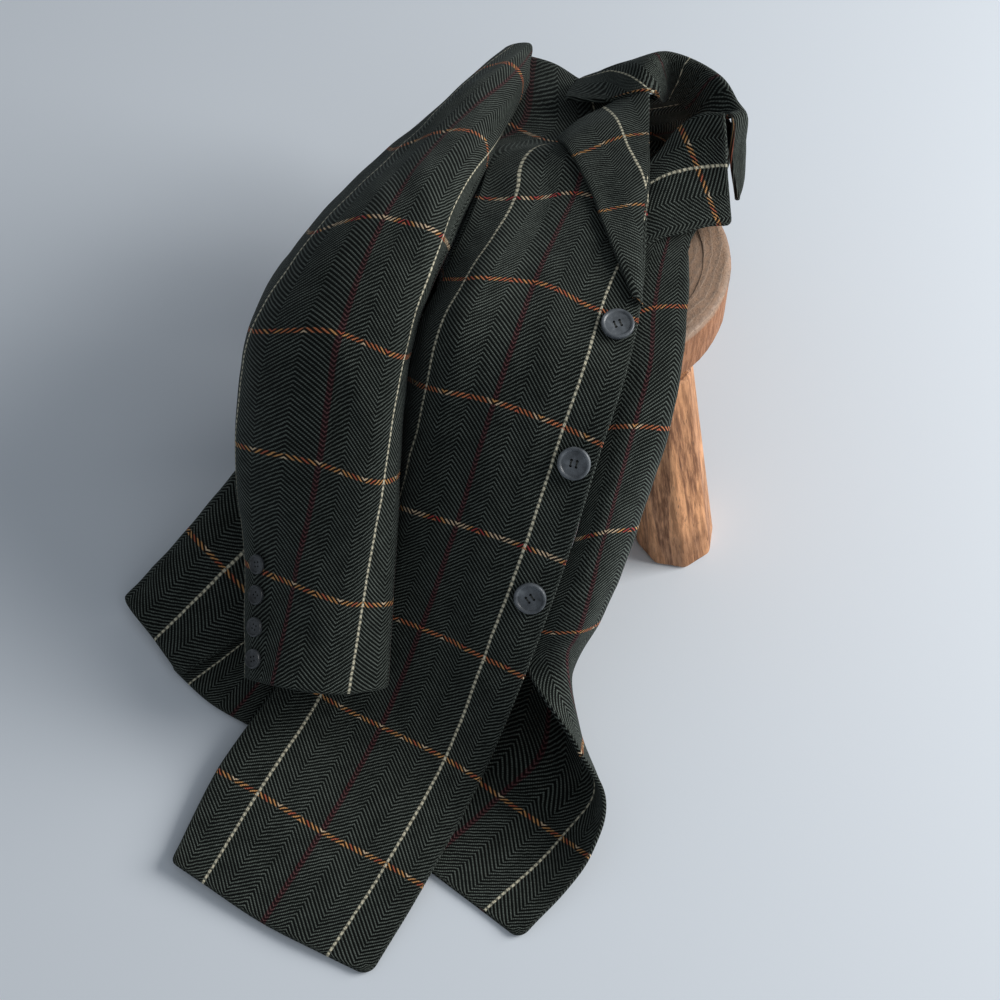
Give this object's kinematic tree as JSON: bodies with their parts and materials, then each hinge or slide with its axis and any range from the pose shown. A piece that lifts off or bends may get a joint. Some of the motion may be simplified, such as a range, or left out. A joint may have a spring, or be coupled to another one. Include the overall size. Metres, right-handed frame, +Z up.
{
  "type": "long wool coat on a wooden stool",
  "caption": "Long checked wool coat with notched lapels, laid over a low round wooden stool so that its hem and cuff fall to the floor.",
  "frame": {"origin": "middle of the whole box, on the floor", "axes": "+Z up, +Y from the coat's hem towards its collar, +X towards the wearer's left front"},
  "size_m": [0.5102, 0.789, 0.2901],
  "materials": {
    "wool": "brushed herringbone wool with a windowpane check",
    "oak": "hand-hewn, worn and waxed",
    "horn": "polished grey horn-like resin"
  },
  "bodies": {
    "root": {"back_left": "wool", "back_right": "wool", "button_cuff_left_1": "horn", "button_cuff_left_2": "horn", "button_cuff_left_3": "horn", "button_cuff_left_4": "horn", "button_cuff_right_1": "horn", "button_cuff_right_2": "horn", "button_cuff_right_3": "horn", "button_cuff_right_4": "horn", "button_front_1": "horn", "button_front_2": "horn", "button_front_3": "horn", "collar": "wool", "folded_layers": "wool", "front_left": "wool", "front_right": "wool", "lapel_left": "wool", "lapel_right": "wool", "sleeve_left_under": "wool", "sleeve_left_upper": "wool", "sleeve_right_under": "wool", "sleeve_right_upper": "wool", "stool_leg_1": "oak", "stool_leg_2": "oak", "stool_leg_3": "oak", "stool_seat": "oak"}
  },
  "joints": []
}
